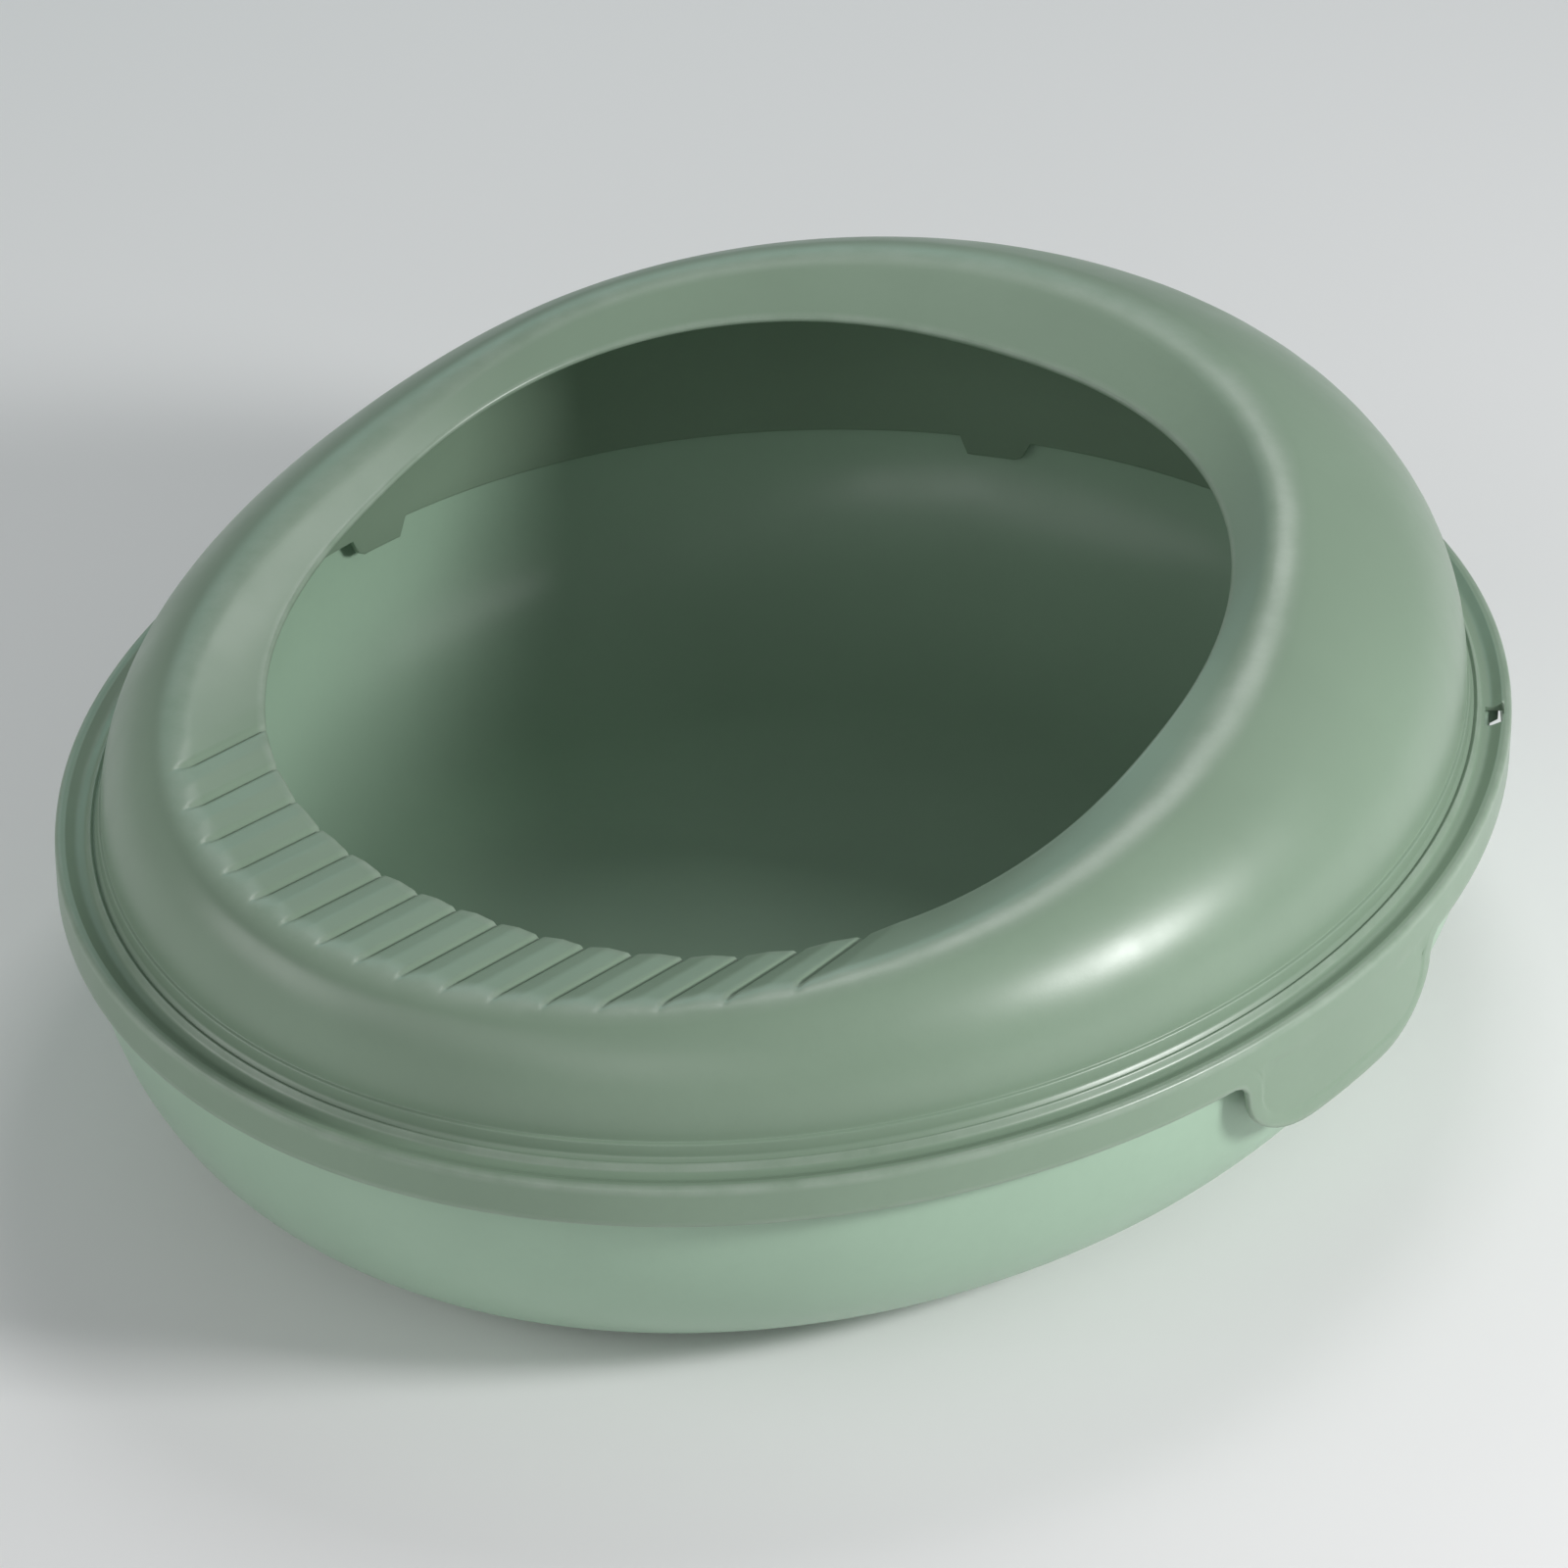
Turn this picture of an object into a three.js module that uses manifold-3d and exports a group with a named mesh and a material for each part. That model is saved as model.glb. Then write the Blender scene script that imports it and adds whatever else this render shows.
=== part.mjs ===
// A semi-closed cat litter box: an oval pan, and the hood that clips over its rim.
// Millimetres, +Z up. The entry side is -Y. The origin is under the middle of the base.
import * as THREE from "three";
import { mergeVertices } from "three/addons/utils/BufferGeometryUtils.js";
import Module from "manifold-3d";

const wasm = await Module();
wasm.setup();

// ---- Driving dimensions -------------------------------------------------

// The master oval runs along the crest of the bead at the dome's foot. An "offset" below is
// a distance outwards from that oval, and a height is counted from the ground.
const OVAL_HALF_WIDTH = 200;
const OVAL_HALF_LENGTH = 240;

const TRAY_HEIGHT = 84.5;
const TRAY_WALL = 2.8;
const TRAY_STRAIGHT = 10; // upright part of the wall, under the rim
const TRAY_FLOOR_INSET = 65; // from the top of the wall in to the edge of the floor
const TRAY_REAR_INSET = 26; // how much further in the floor starts at the rear
const TRAY_BELLY = 2.15; // superellipse power of the wall's curve
const RIM_REACH = 3; // how far the rim stands out from the wall
const RIM_LIP = 3.4; // depth of the rim's turned-down lip

const HOOD_WALL = 2.6;
const SEAT_GAP = 0.3; // between the rim's top and the underside of the hood's flange
const CHANNEL_DEPTH = 1.6; // below the crest of the bead
const BEAD_WIDTH = 3;
const SKIRT_CLEARANCE = 1.4; // between the tray's rim and the inside of the skirt
const SKIRT_HEIGHT = 14.5; // from the crest of the bead down to the skirt's edge
const SKIRT_ROUND = 3; // roll from the flange into the skirt
const CURTAIN_CLEARANCE = 3.7; // between the curtain and the inside of the tray's wall
const CURTAIN_DEPTH = 13; // inner curtain inside the tray, below the crest
const CURTAIN_REAR_DROP = 13; // how much deeper it hangs at the rear
const FOOT_OFFSET = -1.5; // outer face of the dome's wall at its foot
const FOOT_STEP = 4; // upright step at the dome's foot

// The opening has an outer edge, where the dome turns over, and a throat, where the funnel
// band inside that edge ends. Each is a superellipse in plan. The margins go from the
// master oval in to the edge, and the band widths from the edge in to the throat.
const EDGE_MARGIN = { side: 46, front: 19, rear: 89, power: 2.05 };
const BAND_WIDTH = { side: 16, front: 50.5, rear: 32.5, power: 2.3 };
// The edge's side profile: how far back along it, from 0 to 1, and the height over the crest.
const EDGE_PROFILE = [
  [0, 37],
  [0.325, 46.5],
  [0.594, 60.5],
  [0.809, 79],
  [1, 89.5],
];
const THROAT_DROP = { front: 10, rear: 12.5 }; // below the edge, at each end
const DOME_SWEEP = THREE.MathUtils.degToRad(66); // share of a quarter ellipse in the dome
const EDGE_ROUND = 6; // roll from the dome into the funnel band

const RIB_PITCH = 14.2;
const RIB_COUNT = 16; // grooves across the front of the band
const RIB_HEIGHT = 1.8;

const PULL_TAB_MIDDLE = -28; // along Y
const PULL_TAB_WIDTH = 96;
const PULL_TAB_DROP = 26; // below the skirt's edge
const PULL_TAB_CORNER = 30; // across; a corner's height is what the fillet leaves
const PULL_TAB_FILLET = 6; // where the skirt's edge turns down into the tab

const SNAP_ANGLES = [12, 72, 108, 168, 192, 252, 288, 348]; // degrees round the oval
const SNAP_WIDTH = 24;
const SNAP_TAPER = 3;
const SNAP_DROP = 7;
const SNAP_CORNER = 3;
const SNAP_FILLET = 1;
const SNAP_SET_IN = 1; // behind the curtain's outer face, clear of the tray's wall

const SLOT_ANGLE = 30; // small slot through the flange, in degrees round the oval
const SLOT_SET_IN = 3.1; // from the skirt's outer face to the slot's outer side
const SLOT_WIDTH = 5.2;
const SLOT_LENGTH = 11;
const SLOT_CLEARANCE = 2.5; // of the notch in the tray's rim, under the slot

// How finely the round shapes are cut into flat faces.
const TRAY_COLUMNS = 64;
const TRAY_WALL_STEPS = 7;
const DOME_STEPS = 6;
const PLAIN_COLUMNS = 40; // round the hood, where there are no ribs
const COLUMNS_PER_RIB = 4;
const TAB_COLUMNS = 80;
const CURVE_STEPS = 6;
const PROFILE_STEPS = 80;

// ---- Values that follow ---------------------------------------------------

const TRAY_WALL_OFFSET = FOOT_OFFSET + CURTAIN_CLEARANCE + TRAY_WALL; // its outer face
const RIM_OFFSET = TRAY_WALL_OFFSET + RIM_REACH;
const SKIRT_OFFSET = RIM_OFFSET + SKIRT_CLEARANCE + HOOD_WALL; // its outer face
const SLOT_OUTER = SKIRT_OFFSET - SLOT_SET_IN;
const FLANGE_UNDER = TRAY_HEIGHT + SEAT_GAP;
const FLANGE_TOP = FLANGE_UNDER + HOOD_WALL;
const CREST = FLANGE_TOP + CHANNEL_DEPTH;
const SKIRT_EDGE = CREST - SKIRT_HEIGHT;
const RIB_SPAN = (RIB_COUNT * RIB_PITCH) / 2;

// A superellipse in plan that lies inside front, rear and side distances from the middle.
function planOval(side, front, rear, power) {
  return { halfWidth: side, halfLength: (front + rear) / 2, middle: (rear - front) / 2, power };
}
const EDGE = planOval(
  OVAL_HALF_WIDTH - EDGE_MARGIN.side,
  OVAL_HALF_LENGTH - EDGE_MARGIN.front,
  OVAL_HALF_LENGTH - EDGE_MARGIN.rear,
  EDGE_MARGIN.power,
);
const THROAT = planOval(
  EDGE.halfWidth - BAND_WIDTH.side,
  EDGE.halfLength - EDGE.middle - BAND_WIDTH.front,
  EDGE.halfLength + EDGE.middle - BAND_WIDTH.rear,
  BAND_WIDTH.power,
);
const THROAT_FRONT_HEIGHT = EDGE_PROFILE[0][1] - THROAT_DROP.front;
const THROAT_REAR_HEIGHT = EDGE_PROFILE.at(-1)[1] - THROAT_DROP.rear;

// ---- Helpers ----------------------------------------------------------------

const rad = THREE.MathUtils.degToRad;
const clamp = THREE.MathUtils.clamp;
const signedPower = (value, power) => Math.sign(value) * Math.abs(value) ** power;

// A point on the master oval moved out by offset.
function ovalPoint(angle, offset, height) {
  const x = (OVAL_HALF_WIDTH + offset) * Math.cos(angle);
  const y = (OVAL_HALF_LENGTH + offset) * Math.sin(angle);
  return new THREE.Vector3(x, y, height);
}

// A closed shell that goes once round: sectionAt(angle) is its closed section there, with
// the same number of points at every angle, and angles lists where the sections stand.
function shellRound(sectionAt, angles) {
  const sections = angles.map(sectionAt);
  const rows = sections[0].length;
  const outline = sections[0].map((p) => new THREE.Vector2(p.length(), p.z));
  const geometry = new THREE.LatheGeometry([...outline, outline[0]], angles.length);
  const place = geometry.getAttribute("position");
  for (let column = 0; column <= angles.length; column++) {
    const section = sections[column % angles.length];
    for (let row = 0; row <= rows; row++) {
      place.setXYZ(column * (rows + 1) + row, ...section[row % rows].toArray());
    }
  }
  return geometry;
}

function evenAngles(count) {
  return Array.from({ length: count }, (_, i) => (2 * Math.PI * i) / count);
}

function toSolid(geometry) {
  const bare = geometry.clone();
  bare.deleteAttribute("normal");
  bare.deleteAttribute("uv");
  const merged = mergeVertices(bare, 1e-3);
  const vertProperties = new Float32Array(merged.getAttribute("position").array);
  const triVerts = new Uint32Array(merged.index.array);
  return new wasm.Manifold(new wasm.Mesh({ numProp: 3, vertProperties, triVerts }));
}

function toGeometry(solid) {
  const mesh = solid.getMesh();
  const geometry = new THREE.BufferGeometry();
  geometry.setAttribute("position", new THREE.BufferAttribute(mesh.vertProperties, 3));
  geometry.setIndex(new THREE.BufferAttribute(mesh.triVerts, 1));
  geometry.computeVertexNormals();
  return geometry;
}

// A plane outline made thick across the wall, at an angle of the oval: its own x runs
// along the wall, its y is the height, and the offset is in the middle of its thickness.
// It is only as thick as it takes to pass through the wall where the wall curves away.
function wallCutter(shape, angle, offset, thickness) {
  const geometry = new THREE.ExtrudeGeometry(shape, {
    depth: thickness,
    bevelEnabled: false,
    curveSegments: CURVE_STEPS,
  });
  geometry.translate(0, 0, -thickness / 2);
  const at = ovalPoint(angle, offset, 0);
  const outward = new THREE.Vector3(
    Math.cos(angle) / OVAL_HALF_WIDTH,
    Math.sin(angle) / OVAL_HALF_LENGTH,
    0,
  ).normalize();
  const up = new THREE.Vector3(0, 0, 1);
  const along = new THREE.Vector3().crossVectors(up, outward);
  const place = new THREE.Matrix4().makeBasis(along, up, outward).setPosition(at);
  return toSolid(geometry.applyMatrix4(place));
}

// An upright band of wall between two offsets and two heights.
function wallBand(inner, outer, low, high, columns) {
  const section = (angle) => [
    ovalPoint(angle, inner, low),
    ovalPoint(angle, outer, low),
    ovalPoint(angle, outer, high),
    ovalPoint(angle, inner, high),
  ];
  return toSolid(shellRound(section, evenAngles(columns)));
}

// The outline of a tab that hangs from an edge: a fillet at each side of its root, sides
// that may taper, and rounded lower corners. It starts a root's depth above the edge.
function tabOutline({ width, edge, drop, taper, corner, cornerHeight, fillet, root }) {
  const half = width / 2;
  const foot = half - taper;
  const bottom = edge - drop;
  const shape = new THREE.Shape();
  shape.moveTo(half + fillet, edge + root);
  shape.lineTo(-half - fillet, edge + root);
  shape.lineTo(-half - fillet, edge);
  shape.quadraticCurveTo(-half, edge, -half, edge - fillet);
  shape.lineTo(-foot, bottom + cornerHeight);
  shape.quadraticCurveTo(-foot, bottom, -foot + corner, bottom);
  shape.lineTo(foot - corner, bottom);
  shape.quadraticCurveTo(foot, bottom, foot, bottom + cornerHeight);
  shape.lineTo(half, edge - fillet);
  shape.quadraticCurveTo(half, edge, half + fillet, edge);
  shape.closePath();
  return shape;
}

// A tab of wall between two offsets, hanging from an edge at an angle of the oval. Its
// root reaches up into the wall that it hangs from.
function hangingTab(angle, inner, outer, outline) {
  const reach = outline.width / 2 + outline.fillet;
  const curveAway = (reach * reach) / OVAL_HALF_WIDTH + outer - inner;
  const band = wallBand(
    inner,
    outer,
    outline.edge - outline.drop - SEAT_GAP,
    outline.edge + outline.root - SEAT_GAP,
    TAB_COLUMNS,
  );
  return band.intersect(wallCutter(tabOutline(outline), angle, outer, 2 * curveAway));
}

// An upright box across the wall, from one offset to another, at an angle of the oval.
function radialBox(angle, inner, outer, length, low, high) {
  const shape = new THREE.Shape();
  shape.moveTo(-length / 2, low);
  shape.lineTo(length / 2, low);
  shape.lineTo(length / 2, high);
  shape.lineTo(-length / 2, high);
  shape.closePath();
  return wallCutter(shape, angle, (inner + outer) / 2, outer - inner);
}

// ---- The tray -------------------------------------------------------------

// One face of the tray's wall and floor, inset by a wall thickness: from the middle of the
// floor out to its edge, up the curved wall and to the top.
function trayFace(angle, inset) {
  const rear = Math.max(0, Math.sin(angle)) ** 2;
  const floorInset = TRAY_FLOOR_INSET + TRAY_REAR_INSET * rear;
  const top = TRAY_HEIGHT - TRAY_STRAIGHT;
  const depth = top - inset;
  const points = [];
  const floorEdge = TRAY_WALL_OFFSET - floorInset;
  for (const share of [0.25, 0.75]) {
    points.push(ovalPoint(angle, floorEdge, 0).multiplyScalar(share).setZ(inset));
  }
  for (let i = 0; i <= TRAY_WALL_STEPS; i++) {
    const turn = (Math.PI / 2) * (1 - i / TRAY_WALL_STEPS);
    const inwards = (floorInset - inset) * (1 - Math.cos(turn) ** (2 / TRAY_BELLY));
    const downwards = depth * Math.sin(turn) ** (2 / TRAY_BELLY);
    points.push(ovalPoint(angle, TRAY_WALL_OFFSET - inset - inwards, top - downwards));
  }
  return points;
}

function makeTray() {
  const lip = RIM_OFFSET - TRAY_WALL / 2; // inner face of the turned-down lip
  const section = (angle) => {
    const outside = trayFace(angle, 0);
    const inside = trayFace(angle, TRAY_WALL);
    return [
      new THREE.Vector3(0, 0, 0),
      ...outside,
      ovalPoint(angle, TRAY_WALL_OFFSET, TRAY_HEIGHT - RIM_LIP),
      ovalPoint(angle, TRAY_WALL_OFFSET, TRAY_HEIGHT - TRAY_WALL),
      ovalPoint(angle, lip, TRAY_HEIGHT - TRAY_WALL),
      ovalPoint(angle, lip, TRAY_HEIGHT - RIM_LIP - TRAY_WALL / 2),
      ovalPoint(angle, RIM_OFFSET, TRAY_HEIGHT - RIM_LIP - TRAY_WALL / 2),
      ovalPoint(angle, RIM_OFFSET, TRAY_HEIGHT - TRAY_WALL / 2),
      ovalPoint(angle, lip, TRAY_HEIGHT),
      ovalPoint(angle, TRAY_WALL_OFFSET - TRAY_WALL, TRAY_HEIGHT),
      ...inside.reverse(),
      new THREE.Vector3(0, 0, TRAY_WALL),
    ];
  };
  const notch = radialBox(
    rad(SLOT_ANGLE),
    TRAY_WALL_OFFSET + SEAT_GAP,
    RIM_OFFSET + SLOT_CLEARANCE,
    SLOT_LENGTH + 2 * SLOT_CLEARANCE,
    TRAY_HEIGHT - TRAY_STRAIGHT,
    TRAY_HEIGHT + SEAT_GAP,
  );
  return toSolid(shellRound(section, evenAngles(TRAY_COLUMNS))).subtract(notch);
}

// ---- The hood ---------------------------------------------------------------

const profilePoints = EDGE_PROFILE.map(([back, height]) => {
  return new THREE.Vector2(EDGE.middle + EDGE.halfLength * (2 * back - 1), height);
});
const edgeSamples = new THREE.SplineCurve(profilePoints).getPoints(PROFILE_STEPS);

// Height of the opening's outer edge above the crest, at a place along Y.
function edgeHeight(y) {
  const held = clamp(y, edgeSamples[0].x, edgeSamples.at(-1).x);
  const next = Math.max(1, edgeSamples.findIndex((p) => p.x >= held));
  const [a, b] = [edgeSamples[next - 1], edgeSamples[next]];
  return a.y + ((b.y - a.y) * (held - a.x)) / (b.x - a.x);
}

// The opening's outer edge at a turn round its own oval.
function edgePoint(turn) {
  const power = 2 / EDGE.power;
  const x = EDGE.halfWidth * signedPower(Math.cos(turn), power);
  const y = EDGE.middle + EDGE.halfLength * signedPower(Math.sin(turn), power);
  return new THREE.Vector3(x, y, CREST + edgeHeight(y));
}

// The throat's point that faces an edge point: straight behind or before it, so that ribs
// can run along Y, and drawn in towards the sides.
function throatPoint(edge) {
  const across = edge.x / EDGE.halfWidth;
  const narrowing = 1 - THROAT.halfWidth / EDGE.halfWidth;
  const x = edge.x * (1 - narrowing * across ** 6);
  const reach = Math.max(0, 1 - Math.abs(x / THROAT.halfWidth) ** THROAT.power);
  const side = Math.sign(edge.y - EDGE.middle);
  const y = THROAT.middle + side * THROAT.halfLength * reach ** (1 / THROAT.power);
  const share = (y - THROAT.middle) / (2 * THROAT.halfLength) + 0.5;
  const height = THREE.MathUtils.lerp(THROAT_FRONT_HEIGHT, THROAT_REAR_HEIGHT, share);
  return new THREE.Vector3(x, y, CREST + height);
}

// How far the ribs stand out of the band at a place across it.
function ribRise(point) {
  if (point.y > EDGE.middle || Math.abs(point.x) > RIB_SPAN) return 0;
  const phase = (Math.abs(point.x) / RIB_PITCH + 0.5) % 1;
  return RIB_HEIGHT * Math.sin(Math.PI * phase) ** 0.7 - RIB_HEIGHT / 2;
}

// The face that shows, at one turn: up the dome, over the edge and down the band.
function hoodFace(turn) {
  const edge = edgePoint(turn);
  const throat = throatPoint(edge);
  const angle = Math.atan2(edge.y / OVAL_HALF_LENGTH, edge.x / OVAL_HALF_WIDTH);
  const foot = ovalPoint(angle, FOOT_OFFSET, CREST + FOOT_STEP);
  const points = [ovalPoint(angle, FOOT_OFFSET, CREST), foot];
  const outwards = foot.clone().sub(edge).setZ(0).normalize();
  const shoulder = edge.clone().addScaledVector(outwards, EDGE_ROUND * 0.5);
  for (let i = 1; i <= DOME_STEPS; i++) {
    const sweep = (DOME_SWEEP * i) / DOME_STEPS;
    const inwards = (1 - Math.cos(sweep)) / (1 - Math.cos(DOME_SWEEP));
    const rise = Math.sin(sweep) / Math.sin(DOME_SWEEP);
    const point = foot.clone().lerp(shoulder, inwards);
    point.z = foot.z + (shoulder.z - foot.z) * rise;
    points.push(point);
  }
  const rolled = EDGE_ROUND / edge.distanceTo(throat); // share of the band in the roll
  for (const share of [rolled, (1 + rolled) / 2, 1]) {
    const point = edge.clone().lerp(throat, share);
    point.z += ribRise(point);
    points.push(point);
  }
  return { angle, points };
}

// The height of the curtain's lower edge.
function curtainEdge(angle) {
  const rear = Math.max(0, Math.sin(angle)) ** 2;
  return CREST - CURTAIN_DEPTH - CURTAIN_REAR_DROP * rear;
}

// Each point of a section moved in by the wall, square to the section's own line.
function wallBehind(points, thickness) {
  return points.map((point, i) => {
    const before = points[Math.max(0, i - 1)];
    const after = points[Math.min(points.length - 1, i + 1)];
    const line = after.clone().sub(before);
    const flat = points.at(-1).clone().sub(points[0]).setZ(0).normalize();
    const along = line.x * flat.x + line.y * flat.y;
    const depth = thickness / Math.hypot(along, line.z);
    return point
      .clone()
      .addScaledVector(flat, line.z * depth)
      .add(new THREE.Vector3(0, 0, -along * depth));
  });
}

function hoodSection(turn) {
  const { angle, points } = hoodFace(turn);
  const at = (offset, height) => ovalPoint(angle, offset, height);
  const curtainIn = FOOT_OFFSET - HOOD_WALL;
  const skirtIn = SKIRT_OFFSET - HOOD_WALL;
  const roll = SKIRT_ROUND * (1 - Math.SQRT1_2);
  return [
    at(skirtIn, SKIRT_EDGE),
    at(SKIRT_OFFSET, SKIRT_EDGE),
    at(SKIRT_OFFSET, FLANGE_TOP - SKIRT_ROUND),
    at(SKIRT_OFFSET - roll, FLANGE_TOP - roll),
    at(SKIRT_OFFSET - SKIRT_ROUND, FLANGE_TOP),
    at(BEAD_WIDTH, FLANGE_TOP),
    at(BEAD_WIDTH / 2, CREST),
    ...points,
    ...wallBehind(points, HOOD_WALL).slice(1).reverse(),
    at(curtainIn, CREST),
    at(curtainIn, curtainEdge(angle)),
    at(FOOT_OFFSET, curtainEdge(angle)),
    at(FOOT_OFFSET, FLANGE_UNDER),
    at(skirtIn, FLANGE_UNDER),
  ];
}

// Turns round the opening: close together across the ribs, wider apart elsewhere.
function hoodTurns() {
  const half = (RIB_COUNT * COLUMNS_PER_RIB) / 2;
  const turns = [];
  for (let i = -half; i <= half; i++) {
    const across = (i * RIB_PITCH) / COLUMNS_PER_RIB / EDGE.halfWidth;
    turns.push(-Math.PI / 2 + Math.asin(signedPower(across, EDGE.power / 2)));
  }
  const [first, last] = [turns[0], turns.at(-1)];
  for (let i = 1; i < PLAIN_COLUMNS; i++) {
    turns.push(last + ((first + 2 * Math.PI - last) * i) / PLAIN_COLUMNS);
  }
  return turns;
}

// A tab that hangs down each side of the skirt, to pull when the hood is lifted off.
function pullTab(angle) {
  return hangingTab(angle, SKIRT_OFFSET - HOOD_WALL, SKIRT_OFFSET, {
    width: PULL_TAB_WIDTH,
    edge: SKIRT_EDGE,
    drop: PULL_TAB_DROP,
    taper: 0,
    corner: PULL_TAB_CORNER,
    cornerHeight: PULL_TAB_DROP - PULL_TAB_FILLET,
    fillet: PULL_TAB_FILLET,
    root: HOOD_WALL,
  });
}

// A small tab under the curtain, which presses against the inside of the tray.
function snapTab(angle) {
  const outer = FOOT_OFFSET - SNAP_SET_IN;
  return hangingTab(angle, outer - HOOD_WALL, outer, {
    width: SNAP_WIDTH,
    edge: curtainEdge(angle),
    drop: SNAP_DROP,
    taper: SNAP_TAPER,
    corner: SNAP_CORNER,
    cornerHeight: SNAP_CORNER,
    fillet: SNAP_FILLET,
    root: HOOD_WALL,
  });
}

function makeHood() {
  let hood = toSolid(shellRound(hoodSection, hoodTurns()));
  const tabAngle = Math.asin(PULL_TAB_MIDDLE / (OVAL_HALF_LENGTH + SKIRT_OFFSET));
  for (const angle of [tabAngle, Math.PI - tabAngle]) hood = hood.add(pullTab(angle));
  for (const degrees of SNAP_ANGLES) hood = hood.add(snapTab(rad(degrees)));
  const slot = radialBox(
    rad(SLOT_ANGLE),
    SLOT_OUTER - SLOT_WIDTH,
    SLOT_OUTER,
    SLOT_LENGTH,
    FLANGE_UNDER - HOOD_WALL,
    FLANGE_TOP + HOOD_WALL,
  );
  return hood.subtract(slot);
}

// ---- The part -----------------------------------------------------------------

const trayPlastic = new THREE.MeshStandardMaterial({ color: 0xa5c3ac, roughness: 0.45, metalness: 0 });
const hoodPlastic = new THREE.MeshStandardMaterial({ color: 0x87a089, roughness: 0.42, metalness: 0 });

const litterBox = new THREE.Group();
const tray = new THREE.Mesh(toGeometry(makeTray()), trayPlastic);
tray.name = "tray";
const hood = new THREE.Mesh(toGeometry(makeHood()), hoodPlastic);
hood.name = "hood";
litterBox.add(tray, hood);

export default litterBox;
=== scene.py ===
"""The looks of a cat litter box with a hood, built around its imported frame.

An oval pan of pale green plastic carries a domed hood of a deeper green. The hood has a
slanted opening with a funnel band, ribs where the cat steps in, a flange with a channel
and a bead, a pull tab on each side and small tabs that snap inside the pan.
Sizes are in metres, +Z is up and -Y is the entry side.
"""

import bisect
import functools
import math

import bmesh
import bpy
from bpy.props import FloatProperty, FloatVectorProperty, IntProperty, PointerProperty
from mathutils import Matrix, Vector


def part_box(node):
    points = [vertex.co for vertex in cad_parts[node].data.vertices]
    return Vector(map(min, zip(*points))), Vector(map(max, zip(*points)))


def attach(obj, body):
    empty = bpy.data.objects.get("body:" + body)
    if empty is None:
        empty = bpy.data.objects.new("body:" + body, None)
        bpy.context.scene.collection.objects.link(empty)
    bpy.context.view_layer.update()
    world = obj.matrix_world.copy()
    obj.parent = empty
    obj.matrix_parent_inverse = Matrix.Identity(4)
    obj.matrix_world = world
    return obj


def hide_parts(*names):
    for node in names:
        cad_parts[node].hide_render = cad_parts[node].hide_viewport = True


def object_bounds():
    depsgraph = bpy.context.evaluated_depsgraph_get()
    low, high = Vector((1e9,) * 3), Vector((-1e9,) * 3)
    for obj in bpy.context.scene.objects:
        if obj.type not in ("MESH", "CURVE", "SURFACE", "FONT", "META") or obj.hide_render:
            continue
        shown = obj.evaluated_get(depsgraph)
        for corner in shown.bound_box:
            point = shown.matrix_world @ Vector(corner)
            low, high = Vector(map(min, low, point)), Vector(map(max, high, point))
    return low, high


bl_info = {
    "name": "Hooded litter box",
    "version": (1, 0, 0),
    "blender": (4, 5, 0),
    "location": "View3D > Sidebar > Litter Box",
    "description": "Models the pan and the hood of a cat litter box around its packed frame",
    "category": "Add Mesh",
}

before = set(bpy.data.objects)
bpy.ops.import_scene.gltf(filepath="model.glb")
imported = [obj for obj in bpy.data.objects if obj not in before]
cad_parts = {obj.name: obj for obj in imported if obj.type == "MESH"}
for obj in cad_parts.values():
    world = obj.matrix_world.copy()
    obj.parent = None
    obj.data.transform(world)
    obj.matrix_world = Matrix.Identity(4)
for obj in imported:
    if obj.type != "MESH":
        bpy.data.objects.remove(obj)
CAD_LOW, CAD_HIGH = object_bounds()
HOOD_LOW, HOOD_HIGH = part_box("hood")
TRAY_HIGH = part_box("tray")[1]

MM = 0.001
SKIRT_OFFSET = 12 * MM
SKIRT_HEIGHT = 14.5 * MM
PULL_TAB_DROP = 26 * MM
SKIRT_TOP = 4.2 * MM  # below the crest, where the skirt's rows meet the flange's
STEP_HEIGHT = 6 * MM  # from the crest up to where the dome's curve starts
STEP_IN = 0.9 * MM  # how far that start lies inside the foot
SEAT_GAP = 0.3 * MM  # between the pan's rim and the underside of the flange
EDGE_STATIONS = (0, 0.325, 0.594, 0.809, 1)  # along the edge, from the front to the rear
SNAP_ANGLES = (12, 72, 108, 168, 192, 252, 288, 348)  # degrees round the oval
FLOOR_SHARES = (0, 0.4, 0.8)  # from the middle of the pan's floor to its edge
# Columns on each side of a groove, as shares of the pitch.
RIB_PHASES = (0.02, 0.045, 0.075, 0.11, 0.17, 0.25, 0.33, 0.42, 0.5)
PLAIN_STEPS = 420  # round the hood, where there are no ribs
TRAY_WALL_STEPS = 30
EDGE_STEPS = 40  # between two of the edge's stations
DOME_STEPS = 18
ROLL_RIB_SHARES = (0, 0, 0, 0.08, 0.3, 0.6, 0.85, 1)  # of the ribs, along the edge's roll
BAND_SHARES = (0.12, 0.3, 0.5, 0.7, 0.86, 0.95)  # from the roll's end to the throat
ROLL_PULL = 0.62  # how far the roll keeps its headings at its two ends
LIP_STEPS = 6
SHARP_ANGLE = math.radians(50)

WHITE = (1, 1, 1)
TEAL = (0.55, 1, 0.95)
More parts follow.
